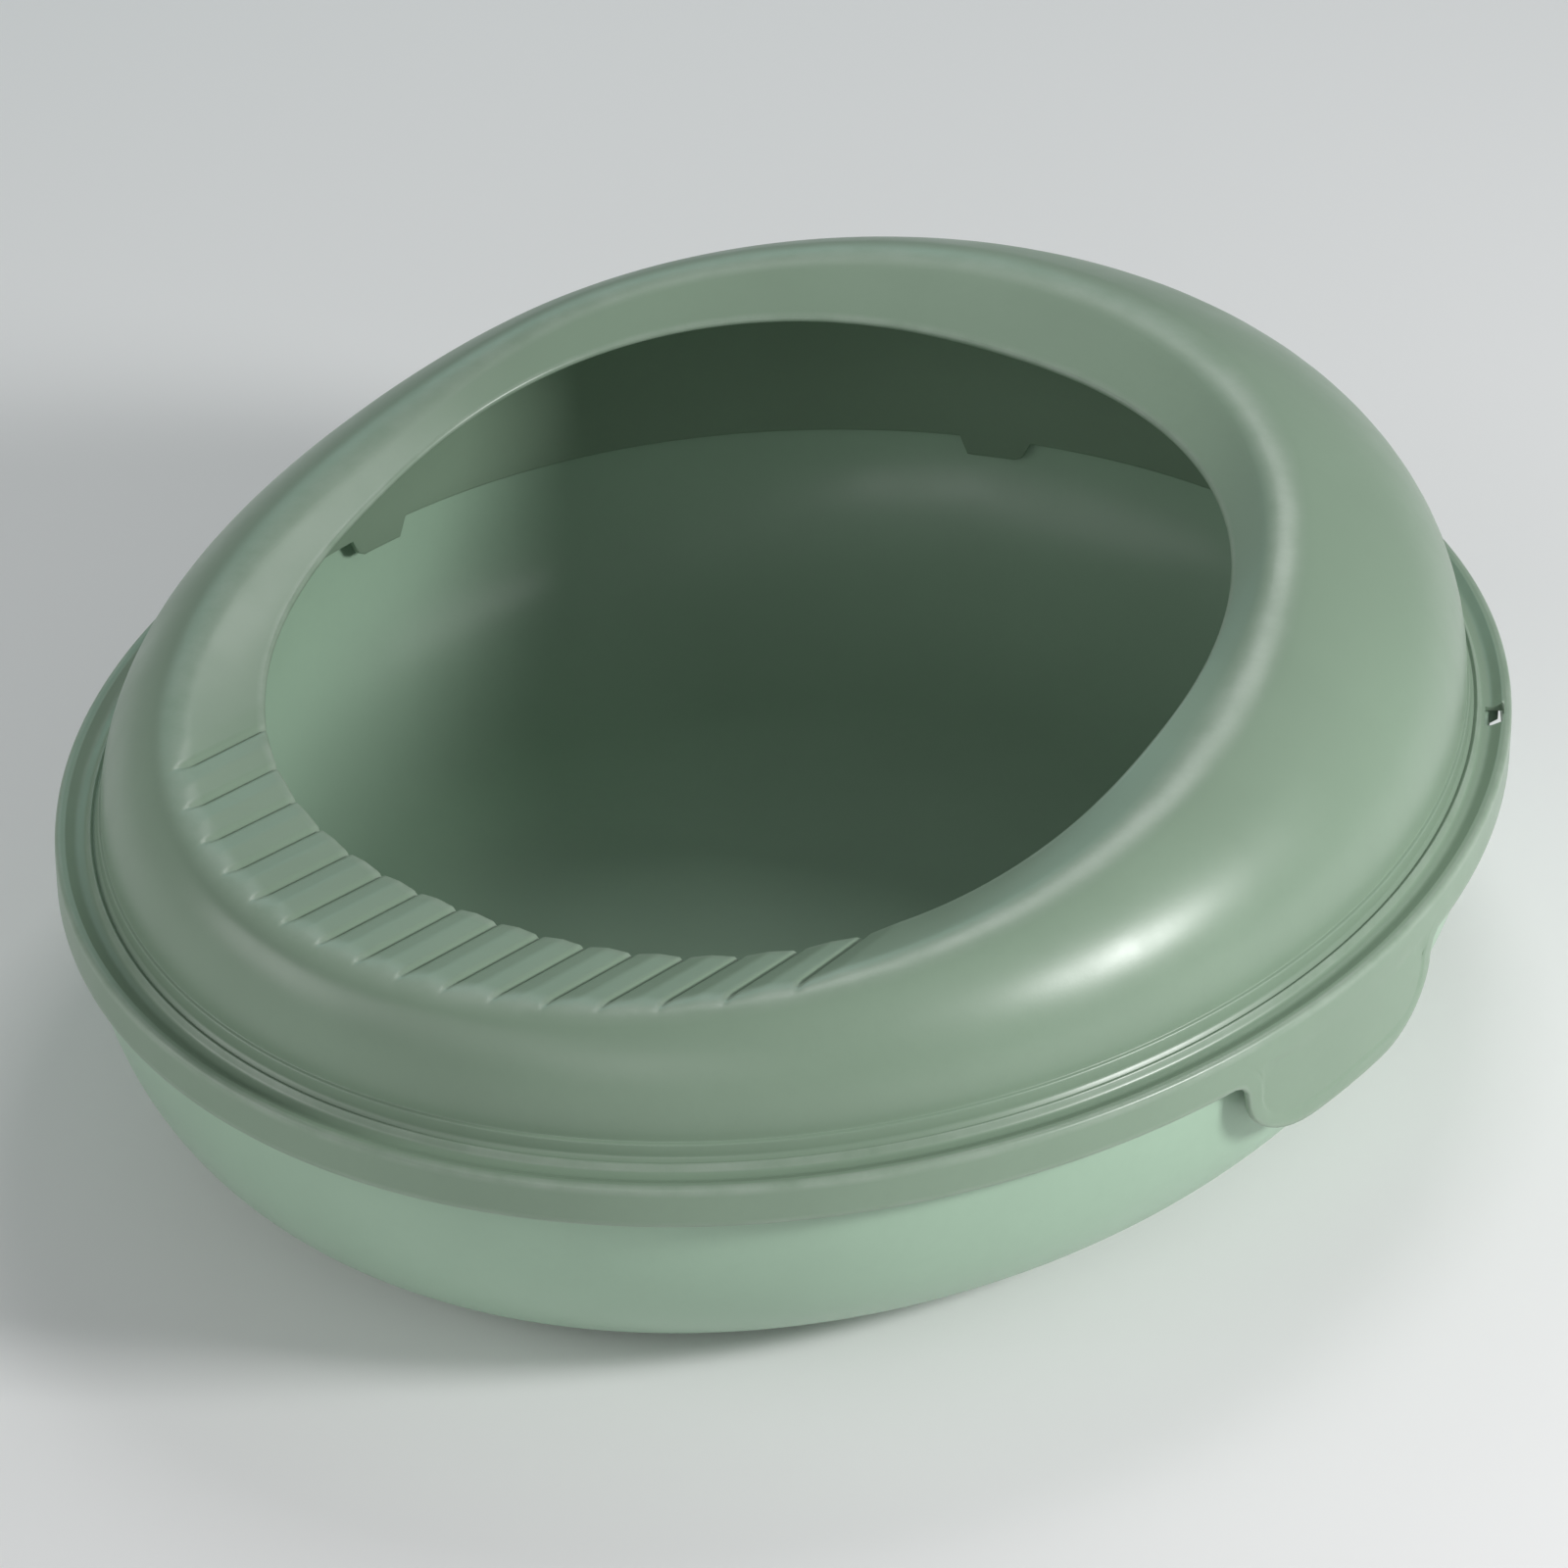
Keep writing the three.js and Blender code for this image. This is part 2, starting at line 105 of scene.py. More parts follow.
# Name, direction from the box, distance, size, power in watts and colour.
LIGHTS = (
    ("side softbox", (0.87, 0.14, 0.44), 1.5, (0.34, 0.26), 15.7, WHITE),
    ("front fill", (-0.2, -1.0, 0.55), 2.6, (1.8, 1.2), 6.0, WHITE),
    ("left fill", (-0.8, -0.7, 0.35), 2.4, (1.4, 0.8), 9.8, WHITE),
    ("right fill", (0.5, -1.0, 0.40), 2.4, (1.2, 0.8), 5.4, WHITE),
    ("top softbox", (-0.2, 0.6, 0.9), 1.8, (0.6, 0.6), 5.9, WHITE),
    ("rear rim", (-0.75, 0.75, 0.55), 2.0, (1.2, 0.5), 2.0, TEAL),
)
WORLD_STRENGTH = 0.21
CAMERA_SHIFT = (-0.0069, -0.0378)
FLOOR_GAP = 0.1 * MM  # keeps the floor clear of the pan's base


# ---- Sizes and colours ---------------------------------------------------------------


class OutlineSizes(bpy.types.PropertyGroup):
    """The master oval, which runs along the crest of the bead at the dome's foot."""

    half_width: FloatProperty(
        name="Half width",
        description="From the middle to the bead's crest, across the box",
        default=HOOD_HIGH.x - SKIRT_OFFSET,
        unit="LENGTH",
    )
    half_length: FloatProperty(
        name="Half length",
        description="From the middle to the bead's crest, along the box",
        default=HOOD_HIGH.y - SKIRT_OFFSET,
        unit="LENGTH",
    )
    crest: FloatProperty(
        name="Crest height",
        description="Height of the bead's crest above the ground",
        default=HOOD_LOW.z + PULL_TAB_DROP + SKIRT_HEIGHT,
        unit="LENGTH",
    )
    columns: IntProperty(
        name="Pan columns",
        description="Steps of the pan's spin",
        default=640,
    )


class TraySizes(bpy.types.PropertyGroup):
    """The pan: a flat floor, a wall that curves up and out, and a turned-down rim."""

    height: FloatProperty(
        name="Height",
        description="Top of the rim above the ground",
        default=TRAY_HIGH.z,
        unit="LENGTH",
    )
    wall: FloatProperty(
        name="Wall",
        description="Thickness of the pan's wall and floor",
        default=2.8 * MM,
        unit="LENGTH",
    )
    wall_offset: FloatProperty(
        name="Wall offset",
        description="Outer face of the wall under the rim, outwards from the master oval",
        default=5 * MM,
        unit="LENGTH",
    )
    straight: FloatProperty(
        name="Straight part",
        description="Upright part of the wall, under the rim",
        default=10 * MM,
        unit="LENGTH",
    )
    floor_inset: FloatProperty(
        name="Floor inset",
        description="From the top of the wall in to the edge of the floor",
        default=65 * MM,
        unit="LENGTH",
    )
    rear_inset: FloatProperty(
        name="Rear inset",
        description="How much further in the floor starts at the rear",
        default=26 * MM,
        unit="LENGTH",
    )
    belly: FloatProperty(
        name="Belly",
        description="Power of the wall's superellipse: 2 is round, more is fuller",
        default=2.15,
    )
    rim_reach: FloatProperty(
        name="Rim reach",
        description="How far the rim stands out from the wall",
        default=3 * MM,
        unit="LENGTH",
    )
    rim_lip: FloatProperty(
        name="Rim lip",
        description="Depth of the rim's turned-down lip",
        default=4.8 * MM,
        unit="LENGTH",
    )


class HoodSizes(bpy.types.PropertyGroup):
    """The hood's wall, foot, flange, skirt and curtain."""

    wall: FloatProperty(
        name="Wall",
        description="Thickness of the hood",
        default=2.6 * MM,
        unit="LENGTH",
    )
    skirt_offset: FloatProperty(
        name="Skirt offset",
        description="Outer face of the skirt, outwards from the master oval",
        default=SKIRT_OFFSET,
        unit="LENGTH",
    )
    skirt_height: FloatProperty(
        name="Skirt height",
        description="From the bead's crest down to the skirt's edge",
        default=SKIRT_HEIGHT,
        unit="LENGTH",
    )
    foot_offset: FloatProperty(
        name="Foot offset",
        description="Outer face of the dome's wall at its foot, outwards from the oval",
        default=-1.5 * MM,
        unit="LENGTH",
    )
    curtain_depth: FloatProperty(
        name="Curtain depth",
        description="Inner curtain inside the pan, below the crest",
        default=13 * MM,
        unit="LENGTH",
    )
    curtain_rear_drop: FloatProperty(
        name="Curtain rear drop",
        description="How much deeper the curtain hangs at the rear",
        default=13 * MM,
        unit="LENGTH",
    )
    dome_sweep: FloatProperty(
        name="Dome sweep",
        description="Turn of the ellipse's arc that makes the dome's side",
        default=math.radians(66),
        subtype="ANGLE",
    )
    edge_round: FloatProperty(
        name="Edge round",
        description="Reach of the roll from the dome over into the funnel band",
        default=8 * MM,
        unit="LENGTH",
    )


class OpeningSizes(bpy.types.PropertyGroup):
    """The opening: an outer edge, where the dome rolls over, and the throat inside it."""

    half_width: FloatProperty(
        name="Edge half width",
        description="Half the width of the outer edge",
        default=154 * MM,
        unit="LENGTH",
    )
    half_length: FloatProperty(
        name="Edge half length",
        description="Half the length of the outer edge",
        default=186 * MM,
        unit="LENGTH",
    )
    middle: FloatProperty(
        name="Edge middle",
        description="Middle of the outer edge along Y",
        default=-35 * MM,
        unit="LENGTH",
    )
    power: FloatProperty(
        name="Edge power",
        description="Superellipse power of the outer edge",
        default=2.05,
    )
    heights: FloatVectorProperty(
        name="Edge heights",
        description="Height of the outer edge above the crest, from the front to the rear",
        default=(37 * MM, 46.5 * MM, 60.5 * MM, 79 * MM, 89.5 * MM),
        size=len(EDGE_STATIONS),
        unit="LENGTH",
    )
    throat_half_width: FloatProperty(
        name="Throat half width",
        description="Half the width of the throat",
        default=138 * MM,
        unit="LENGTH",
    )
    throat_half_length: FloatProperty(
        name="Throat half length",
        description="Half the length of the throat",
        default=144.5 * MM,
        unit="LENGTH",
    )
    throat_middle: FloatProperty(
        name="Throat middle",
        description="Middle of the throat along Y",
        default=-26 * MM,
        unit="LENGTH",
    )
    throat_power: FloatProperty(
        name="Throat power",
        description="Superellipse power of the throat",
        default=2.3,
    )
    throat_front: FloatProperty(
        name="Throat front height",
        description="Height of the throat's front above the crest",
        default=27 * MM,
        unit="LENGTH",
    )
    throat_rear: FloatProperty(
        name="Throat rear height",
        description="Height of the throat's rear above the crest",
        default=77 * MM,
        unit="LENGTH",
    )


class RibSizes(bpy.types.PropertyGroup):
    """The ribs that run along Y across the front of the band."""

    pitch: FloatProperty(
        name="Pitch",
        description="From one groove to the next",
        default=14.2 * MM,
        unit="LENGTH",
    )
    count: IntProperty(
        name="Grooves",
        description="Grooves across the front of the band",
        default=16,
    )
    ridge: FloatProperty(
        name="Ridge",
        description="Height of each rib's gentle ridge over its shoulders",
        default=1.0 * MM,
        unit="LENGTH",
    )
    groove: FloatProperty(
        name="Groove",
        description="Depth of the groove beside each rib's shoulder",
        default=1.1 * MM,
        unit="LENGTH",
    )
    groove_share: FloatProperty(
        name="Groove share",
        description="Half the groove's width, as a share of the pitch",
        default=0.11,
    )


class TabSizes(bpy.types.PropertyGroup):
    """The pull tabs on the skirt, the snap tabs on the curtain and the flange's slot."""

    pull_half_width: FloatProperty(
        name="Pull tab half width",
        description="Half the width of a pull tab",
        default=48 * MM,
        unit="LENGTH",
    )
    pull_drop: FloatProperty(
        name="Pull tab drop",
        description="How far a pull tab hangs below the skirt's edge",
        default=PULL_TAB_DROP,
        unit="LENGTH",
    )
    pull_corner: FloatProperty(
        name="Pull tab corner",
        description="How far a pull tab's rounded lower corners reach along its edge",
        default=30 * MM,
        unit="LENGTH",
    )
    pull_middle: FloatProperty(
        name="Pull tab middle",
        description="Middle of the pull tabs along Y",
        default=-28 * MM,
        unit="LENGTH",
    )
    pull_fillet: FloatProperty(
        name="Pull tab fillet",
        description="Radius where the skirt's edge turns down into a pull tab",
        default=6 * MM,
        unit="LENGTH",
    )
    panel_inset: FloatProperty(
        name="Panel inset",
        description="Border round the sunk panel on a pull tab",
        default=5.5 * MM,
        unit="LENGTH",
    )
    panel_depth: FloatProperty(
        name="Panel depth",
        description="How deep that panel is sunk",
        default=0.45 * MM,
        unit="LENGTH",
    )
    snap_width: FloatProperty(
        name="Snap tab width",
        description="Width of a snap tab at its root",
        default=24 * MM,
        unit="LENGTH",
    )
    snap_drop: FloatProperty(
        name="Snap tab drop",
        description="How far a snap tab hangs below the curtain",
        default=7 * MM,
        unit="LENGTH",
    )
    snap_taper: FloatProperty(
        name="Snap tab taper",
        description="How much narrower a snap tab is at its foot, on each side",
        default=3 * MM,
        unit="LENGTH",
    )
    slot_angle: FloatProperty(
        name="Slot angle",
        description="Where the slot through the flange lies, round the oval",
        default=math.radians(30),
        subtype="ANGLE",
    )
    slot_length: FloatProperty(
        name="Slot length",
        description="Length of the slot along the flange",
        default=11 * MM,
        unit="LENGTH",
    )
    slot_inner: FloatProperty(
        name="Slot inner side",
        description="Inner side of the slot, outwards from the master oval",
        default=3.7 * MM,
        unit="LENGTH",
    )
    slot_outer: FloatProperty(
        name="Slot outer side",
        description="Outer side of the slot, outwards from the master oval",
        default=8.9 * MM,
        unit="LENGTH",
    )


class FinishSettings(bpy.types.PropertyGroup):
    """Colour and surface of the two plastics."""

    hood_colour: FloatVectorProperty(
        name="Hood colour",
        description="Deeper green of the hood",
        default=(0.228, 0.318, 0.232),
        size=3,
        subtype="COLOR",
    )
    tray_colour: FloatVectorProperty(
        name="Pan colour",
        description="Paler green of the pan",
        default=(0.352, 0.500, 0.376),
        size=3,
        subtype="COLOR",
    )
    roughness: FloatProperty(
        name="Roughness",
        description="Roughness of the satin surface",
        default=0.33,
    )
    grain: FloatProperty(
        name="Grain",
        description="Size of the fine moulded grain",
        default=0.9 * MM,
        unit="LENGTH",
    )
    grain_depth: FloatProperty(
        name="Grain depth",
        description="Depth of that grain",
        default=0.02 * MM,
        unit="LENGTH",
    )


class StageSettings(bpy.types.PropertyGroup):
    """Floor, camera and lights."""

    azimuth: FloatProperty(
        name="Azimuth",
        description="Camera's turn round the box from straight in front",
        default=math.radians(32.06),
        subtype="ANGLE",
    )
    elevation: FloatProperty(
        name="Elevation",
        description="Camera's height above the horizon",
        default=math.radians(32.0),
        subtype="ANGLE",
    )
    distance: FloatProperty(
        name="Distance",
        description="From the camera to the middle of the hood's foot",
        default=2.0,
        unit="LENGTH",
    )
    lens: FloatProperty(
        name="Lens",
        description="Focal length, in millimetres",
        default=148.7,
    )
    floor_colour: FloatVectorProperty(
        name="Floor colour",
        description="Pale floor",
        default=(0.86, 0.86, 0.86),
        size=3,
        subtype="COLOR",
    )


class LitterBoxSettings(bpy.types.PropertyGroup):
    """All the sizes and colours of the litter box."""

    outline: PointerProperty(type=OutlineSizes)
    tray: PointerProperty(type=TraySizes)
    hood: PointerProperty(type=HoodSizes)
    opening: PointerProperty(type=OpeningSizes)
    ribs: PointerProperty(type=RibSizes)
    tabs: PointerProperty(type=TabSizes)
    finish: PointerProperty(type=FinishSettings)
    stage: PointerProperty(type=StageSettings)


# ---- Shapes in common ----------------------------------------------------------------


def signed_power(value, power):
    return math.copysign(abs(value) ** power, value)


def smooth_step(low, high, value):
    """0 up to low, 1 from high on, and a soft rise between them."""
    share = min(1.0, max(0.0, (value - low) / (high - low)))
    return share * share * (3 - 2 * share)


def oval_point(outline, angle, offset, height):
    """A point on the master oval moved out by offset."""
    x = (outline.half_width + offset) * math.cos(angle)
    y = (outline.half_length + offset) * math.sin(angle)
    return Vector((x, y, height))


def rearness(angle):
    """0 along the sides and the front, rising to 1 at the rear."""
    return max(0.0, math.sin(angle)) ** 2


def soft_path(corners, steps=4):
    """A path through (across, height, reach) corners. Each corner with a reach becomes a
    soft bend that starts and ends that far from it."""
    path = []
    points = [Vector(corner[:2]) for corner in corners]
    for i, (point, corner) in enumerate(zip(points, corners)):
        if corner[2] == 0 or i in (0, len(points) - 1):
            path.append(point)
            continue
        before, after = points[i - 1] - point, points[i + 1] - point
        start = point + before * min(0.5, corner[2] / before.length)
        end = point + after * min(0.5, corner[2] / after.length)
        for step in range(steps + 1):
            share = step / steps
            first, second = start.lerp(point, share), point.lerp(end, share)
            path.append(first.lerp(second, share))
    return path


def spun_sheet(rows, columns, closed):
    """A chain of rows vertices spun once round Z. A closed chain gives a ring-shaped shell.
    Each vertex holds its row, and the spin's angle tells its column."""
    mesh = bmesh.new()
    row_tag = mesh.verts.layers.int.new("row")
    # This layer carries the painted highlight along the edges that catch the light.
    mesh.verts.layers.float.new("painted_edge_highlight")
    upright = Matrix.Translation((2, 0, 0)) @ Matrix.Rotation(math.pi / 2, 4, "X")
    chain = bmesh.ops.create_circle(mesh, segments=rows, radius=1, matrix=upright)["verts"]
    for row, vert in enumerate(chain):
        vert[row_tag] = row
    if not closed:
        mesh.edges.remove(mesh.edges.get((chain[-1], chain[0])))
    bmesh.ops.spin(
        mesh,
        geom=chain + mesh.edges[:],
        cent=(0, 0, 0),
        axis=(0, 0, 1),
        angle=math.tau,
        steps=columns,
        use_merge=True,
    )
    return mesh


def shell_of(sections, painted_highlight, closed):
    """A shell that goes once round: sections[column][row] says where each vertex lies, and the
    other list says how much painted highlight each row gets, a paler colour where an edge
    catches the light."""
    columns, rows = len(sections), len(sections[0])
    mesh = spun_sheet(rows, columns, closed)
    row_tag = mesh.verts.layers.int["row"]
    highlight_tag = mesh.verts.layers.float["painted_edge_highlight"]
    for vert in mesh.verts:
        column = round(math.atan2(vert.co.y, vert.co.x) / math.tau * columns) % columns
        row = vert[row_tag]
        vert.co = sections[column][row]
        vert[highlight_tag] = painted_highlight[row]
    bmesh.ops.remove_doubles(mesh, verts=mesh.verts[:], dist=0.001 * MM)
    bmesh.ops.recalc_face_normals(mesh, faces=mesh.faces[:])
    if mesh.calc_volume(signed=True) < 0:
        bmesh.ops.reverse_faces(mesh, faces=mesh.faces[:])
    return mesh


def finished_piece(mesh, name, material, body, node):
    """Turns the bmesh into a smooth object that rides on its body and stands for its node."""
    for face in mesh.faces:
        face.smooth = True
    data = bpy.data.meshes.new(name)
    mesh.to_mesh(data)
    mesh.free()
    data.set_sharp_from_angle(angle=SHARP_ANGLE)
    data.materials.append(material)
    piece = bpy.data.objects.new(name, data)
    bpy.context.scene.collection.objects.link(piece)
    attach(piece, body)
    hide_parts(node)
    return piece


# ---- The pan -------------------------------------------------------------------------


def tray_wall_path(tray, angle, inset):
    """Offsets and heights of one face of the wall, from the floor's edge to the top of
    the curve. An inset of a wall thickness gives the inner face."""
    floor_inset = tray.floor_inset + tray.rear_inset * rearness(angle)
    top = tray.height - tray.straight
    path = []
    for step in range(TRAY_WALL_STEPS + 1):
        turn = math.pi / 2 * (1 - step / TRAY_WALL_STEPS)
        inwards = (floor_inset - inset) * (1 - max(0, math.cos(turn)) ** (2 / tray.belly))
        down = (top - inset) * math.sin(turn) ** (2 / tray.belly)
        path.append((tray.wall_offset - inset - inwards, top - down))
    return path


def rim_path(tray, reach):
    """The rim, from the outer face of the wall, out under it, round its lip and back."""
    wall, height = tray.wall, tray.height
    outer = tray.wall_offset + reach
    lip = height - tray.rim_lip
    thin = wall * 0.5
    inside = min(outer - thin, tray.wall_offset + reach * 0.6)
    return soft_path(
        [
            (tray.wall_offset, lip - 2 * MM, 0),
            (tray.wall_offset, height - wall, 0.4 * MM),
            (inside, height - wall, 0.4 * MM),
            (inside, lip, 0.3 * MM),
            (outer, lip, 0.3 * MM),
            (outer, height, 1.2 * MM),
            (tray.wall_offset - wall, height, 0.9 * MM),
            (tray.wall_offset - wall, height - 2.2 * MM, 0),
        ],
    )


def tray_section(box, angle):
    """The pan's section at one angle: from under the middle of the floor, out and up the
    outer face, over the rim, down the inner face and back to the middle of the floor."""
    tray, tabs, outline = box.tray, box.tabs, box.outline
    along = outline.half_length * abs(angle - tabs.slot_angle)
    # The rim draws in where the slot lies over it.
    free = smooth_step(0.5, 0.8, along / tabs.slot_length)
    outer = tray_wall_path(tray, angle, 0)
    inner = tray_wall_path(tray, angle, tray.wall)
    rim = rim_path(tray, tray.rim_reach * (0.05 + 0.95 * free))

    def at(place):
        return oval_point(outline, angle, *place)

    under = [at(outer[0]) * share for share in FLOOR_SHARES]
    above = [at(inner[0]) * share for share in FLOOR_SHARES]
    for point in above:
        point.z = tray.wall
    return under + [at(p) for p in outer + rim + inner[::-1]] + above[::-1]


def tray_edge_highlight(box):
    """How much painted highlight each row of the pan's section gets, a paler colour where its
    edges catch the light: only its rim and the base's edge.
    """
    rows = len(tray_section(box, 0))
    rim = len(rim_path(box.tray, box.tray.rim_reach))
    side = (rows - rim) // 2
    painted_highlight = [0.0] * rows
    for row in range(side, side + rim):
        painted_highlight[row] = 0.8
    base = len(FLOOR_SHARES)
    painted_highlight[base : base + 3] = (0.5, 0.4, 0.2)
    return painted_highlight


def make_tray(box):
    columns = box.outline.columns
    angles = [math.tau * column / columns for column in range(columns)]
    sections = [tray_section(box, angle) for angle in angles]
    mesh = shell_of(sections, tray_edge_highlight(box), closed=False)
    material = satin_plastic("pan plastic", box.finish, box.finish.tray_colour)
    return finished_piece(mesh, "tray_shell", material, "tray", "tray")


# ---- The hood's opening --------------------------------------------------------------


def catmull_rom(before, start, end, after, share):
    """A value between start and end on a smooth curve through all four."""
    slope_in, slope_out = (end - before) / 2, (after - start) / 2
    cubic = 2 * start - 2 * end + slope_in + slope_out
    square = -3 * start + 3 * end - 2 * slope_in - slope_out
    return ((cubic * share + square) * share + slope_in) * share + start


def edge_height(opening, y):
    """Height of the opening's outer edge above the crest, at a place along Y."""
    place = (y - opening.middle) / (2 * opening.half_length) + 0.5
    table = edge_height_table(tuple(opening.heights))
    at = min(len(table) - 1, max(1, bisect.bisect(table, (place,))))
    (low, low_height), (high, high_height) = table[at - 1], table[at]
    share = min(1.0, max(0.0, (place - low) / (high - low)))
    return low_height + (high_height - low_height) * share


@functools.lru_cache
def edge_height_table(heights):
    """The side profile of the edge as many short steps, worked out once."""
    table = []
    last = len(heights) - 1
    for span in range(last):
        picks = [max(0, span - 1), span, span + 1, min(last, span + 2)]
        for step in range(EDGE_STEPS):
            share = step / EDGE_STEPS
            station = catmull_rom(*[EDGE_STATIONS[i] for i in picks], share)
            height = catmull_rom(*[heights[i] for i in picks], share)
            table.append((station, height))
    table.append((EDGE_STATIONS[-1], heights[-1]))
    return table


def edge_point(box, turn):
    """The opening's outer edge at a turn round its own oval."""
    opening = box.opening
    power = 2 / opening.power
    x = opening.half_width * signed_power(math.cos(turn), power)
    y = opening.middle + opening.half_length * signed_power(math.sin(turn), power)
    return Vector((x, y, box.outline.crest + edge_height(opening, y)))


def throat_point(box, edge):
    """The throat's point that faces an edge point: straight behind or before it, and
    drawn in towards the sides."""
    opening = box.opening
    across = edge.x / opening.half_width
    narrowing = 1 - opening.throat_half_width / opening.half_width
    x = edge.x * (1 - narrowing * across**6)
    reach = max(0.0, 1 - abs(x / opening.throat_half_width) ** opening.throat_power)
    away = opening.throat_half_length * reach ** (1 / opening.throat_power)
    y = opening.throat_middle + math.copysign(away, edge.y - opening.middle)
    share = (y - opening.throat_middle) / (2 * opening.throat_half_length) + 0.5
    height = opening.throat_front + (opening.throat_rear - opening.throat_front) * share
    return Vector((x, y, box.outline.crest + height))


def rib_rise(box, edge):
    """Height of the ribbed band over the tops of its ribs, so 0 or less, on the line that
    starts at an edge point."""
    ribs = box.ribs
    span = ribs.count * ribs.pitch / 2
    if edge.y > box.opening.middle or abs(edge.x) > span:
        return 0.0
    phase = (abs(edge.x) / ribs.pitch + 0.5) % 1
    from_groove = min(phase, 1 - phase)
    roof = ribs.ridge * (from_groove / 0.5) ** 0.8
    shoulder = ribs.groove * smooth_step(0, ribs.groove_share, from_groove)
    return roof + shoulder - (ribs.ridge + ribs.groove)


def hood_turns(box):
    """Turns round the opening, one for each column: close together beside each groove,
    and evenly spaced where there are no ribs. One column stands at each end of the slot."""
    ribs, opening = box.ribs, box.opening
    places = {0.0}
    for groove in range(ribs.count // 2):
        middle = groove + 0.5
        for phase in (0.0,) + RIB_PHASES:
            places.update((middle - phase, middle + phase))
    across = sorted({round(p, 4) for p in places} | {-round(p, 4) for p in places})
    turns = []
    for place in across:
        x = place * ribs.pitch / opening.half_width
        turns.append(-math.pi / 2 + math.asin(signed_power(x, opening.power / 2)))
    first, last = turns[0], turns[-1]
    gap = first + math.tau - last
    turns += [last + gap * i / PLAIN_STEPS for i in range(1, PLAIN_STEPS)]
    angles = [foot_angle(box, edge_point(box, turn)) for turn in turns]
    for end in slot_ends(box):
        near = min(range(len(turns)), key=lambda i: abs(angles[i] - end))
        after = near + 1
        slope = (turns[after] - turns[near]) / (angles[after] - angles[near])
        turns[near] += (end - angles[near]) * slope
    return turns


def slot_ends(box):
    """The angles round the oval at which the flange's slot starts and ends."""
    tabs, outline = box.tabs, box.outline
    middle = (tabs.slot_inner + tabs.slot_outer) / 2
    width, length = outline.half_width + middle, outline.half_length + middle
    pace = math.hypot(width * math.sin(tabs.slot_angle), length * math.cos(tabs.slot_angle))
    half = tabs.slot_length / 2 / pace
    return tabs.slot_angle - half, tabs.slot_angle + half


def foot_angle(box, edge):
    """Where round the oval the dome's line through an edge point has its foot."""
    return math.atan2(edge.y / box.outline.half_length, edge.x / box.outline.half_width)


# ---- The hood's section --------------------------------------------------------------


def flange_path(box):
    """Offsets and heights from the top of the skirt over its roll, down through the
    channel, over the bead, through the crease and up the step at the dome's foot."""
    hood, tabs = box.hood, box.tabs
    crest, skirt, foot = box.outline.crest, hood.skirt_offset, hood.foot_offset
    return soft_path(
        [
            (skirt, crest - SKIRT_TOP, 0),
            (skirt - 0.1 * MM, crest - 1.1 * MM, 1.7 * MM),
            (tabs.slot_outer, crest - 1.2 * MM, 1.0 * MM),
            (tabs.slot_outer - 0.3 * MM, crest - 1.35 * MM, 0),
            (tabs.slot_inner + 1.6 * MM, crest - 3.0 * MM, 1.4 * MM),
            (tabs.slot_inner, crest - 2.75 * MM, 0),
            (2.6 * MM, crest - 2.5 * MM, 1.0 * MM),
            (1.3 * MM, crest + 0.2 * MM, 0.7 * MM),
            (0.2 * MM, crest - 0.9 * MM, 0.35 * MM),
            (foot + 0.5 * MM, crest + 0.5 * MM, 0.5 * MM),
            (foot + 0.1 * MM, crest + 4.4 * MM, 0.6 * MM),
            (foot - STEP_IN, crest + 4.7 * MM, 0.35 * MM),
            (foot - STEP_IN, crest + STEP_HEIGHT, 0),
        ],
    )


def dome_points(box, edge, angle):
    """The dome from the top of its step up to where the roll of the edge starts."""
    hood, outline = box.hood, box.outline
    foot_height = outline.crest + STEP_HEIGHT
    foot = oval_point(outline, angle, hood.foot_offset - STEP_IN, foot_height)
    outwards = (foot - edge).to_2d().normalized().to_3d()
    shoulder = edge + outwards * 3 * MM
    reach = hood.edge_round / (shoulder - foot).length
    points = []
    for step in range(1, DOME_STEPS + 1):
        sweep = hood.dome_sweep * (1 - reach) * step / DOME_STEPS
        inwards = (1 - math.cos(sweep)) / (1 - math.cos(hood.dome_sweep))
        rise = math.sin(sweep) / math.sin(hood.dome_sweep)
        point = foot.lerp(shoulder, inwards)
        point.z = foot.z + (shoulder.z - foot.z) * rise
        points.append(point)
    return points


def roll_points(start, heading, edge, throat, reach):
    """The roll over the edge: a curve that leaves the dome along heading and meets the
    straight band that runs from the edge to the throat."""
    inwards = (throat - edge).normalized()
    end = edge + inwards * reach
    pull = (edge - start).length * ROLL_PULL
    first, second = start + heading * pull, end - inwards * reach * ROLL_PULL
    points = []
    steps = len(ROLL_RIB_SHARES)
    for step in range(1, steps + 1):
        t = step / steps
        u = 1 - t
        points.append(
            start * u**3 + first * 3 * u * u * t + second * 3 * u * t * t + end * t**3
        )
    return points


def face_points(box, turn):
    """The hood's face above its foot at one turn: the edge's point, then the dome, the roll
    and the band. The band is level with the tops of its ribs."""
    edge = edge_point(box, turn)
    throat = throat_point(box, edge)
    dome = dome_points(box, edge, foot_angle(box, edge))
    heading = (dome[-1] - dome[-2]).normalized()
    roll = roll_points(dome[-1], heading, edge, throat, box.hood.edge_round)
    band = [roll[-1].lerp(throat, share) for share in BAND_SHARES]
    return edge, dome, roll, band


def behind(points, thickness):
    """Each point moved in by the wall, square to the line of the section."""
    flat = (points[-1] - points[0]).to_2d().normalized().to_3d()
    moved = []
    for i, point in enumerate(points):
        line = points[min(len(points) - 1, i + 1)] - points[max(0, i - 1)]
        along = line.dot(flat)
        length = math.hypot(along, line.z)
        moved.append(point + (flat * line.z - Vector((0, 0, along))) * (thickness / length))
    return moved


